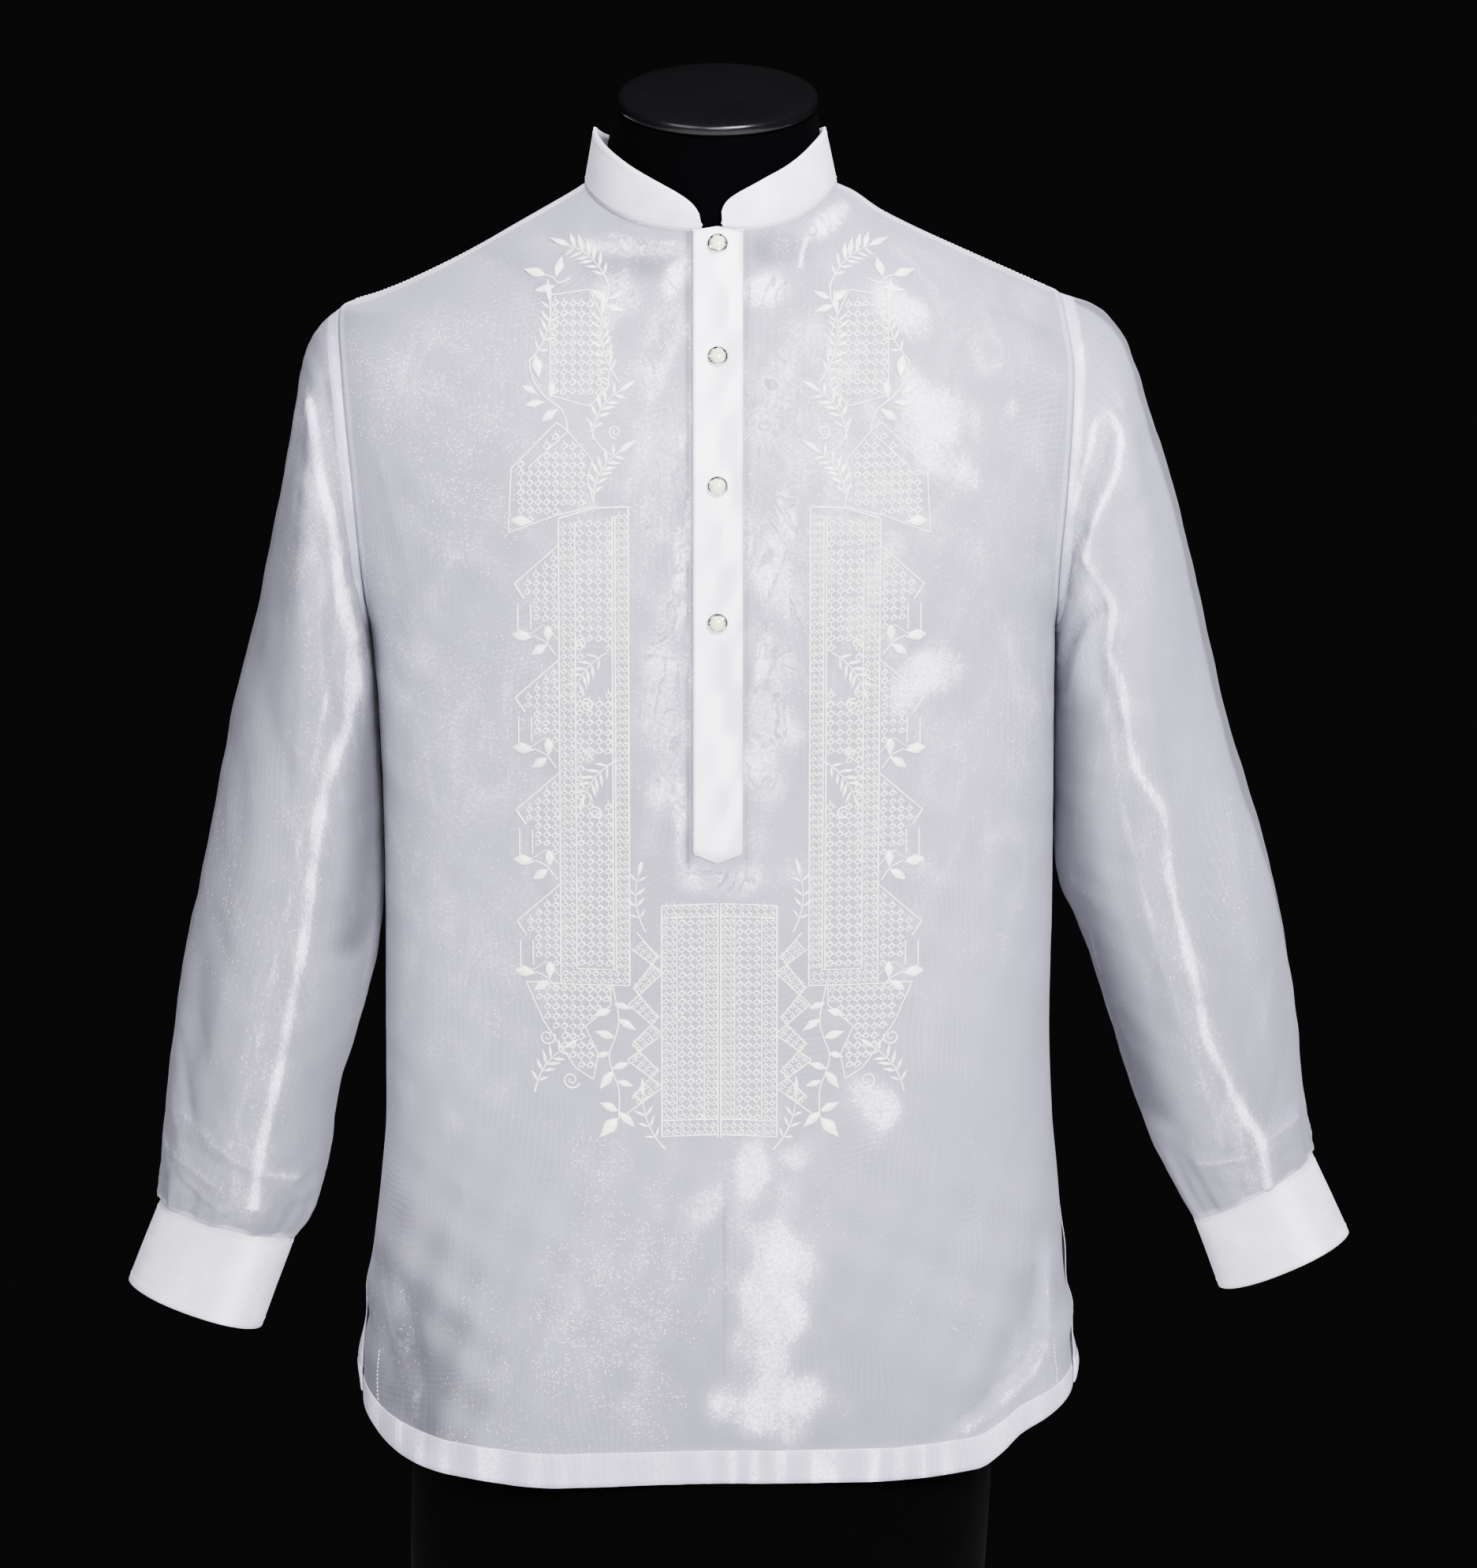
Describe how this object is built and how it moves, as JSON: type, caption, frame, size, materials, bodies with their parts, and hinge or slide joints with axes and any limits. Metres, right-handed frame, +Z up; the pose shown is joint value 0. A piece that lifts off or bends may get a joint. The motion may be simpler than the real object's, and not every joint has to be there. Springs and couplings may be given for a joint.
{
  "type": "barong tagalog shirt on a limbless dress form",
  "caption": "Long-sleeved sheer barong tagalog with a stand collar, half placket and embroidered front, standing on a smooth limbless dress form with a round neck cap.",
  "frame": {"origin": "the middle of the dress form's flat foot, on the surface that it stands on", "axes": "+Z up, the shirt's front faces -Y, +X to the right of someone who faces the shirt"},
  "size_m": [0.7982, 0.2721, 1.0928],
  "materials": {
    "organza": "sheer crisp organza with a soft silk sheen",
    "interfaced_organza": "opaque interfaced organza, smooth and nearly matte",
    "pearl": "cream pearl in a bright rim",
    "jersey": "matte black jersey",
    "lacquer": "gloss black lacquer"
  },
  "bodies": {
    "root": {"front_panel": "organza", "back_panel": "organza", "sleeve_left": "organza", "sleeve_right": "organza", "cuff_left": "interfaced_organza", "cuff_right": "interfaced_organza", "collar_band": "interfaced_organza", "placket": "interfaced_organza", "button_1": "pearl", "button_2": "pearl", "button_3": "pearl", "button_4": "pearl", "cuff_button_left": "pearl", "cuff_button_right": "pearl", "form_torso": "jersey", "form_neck_cap": "lacquer"}
  },
  "joints": []
}
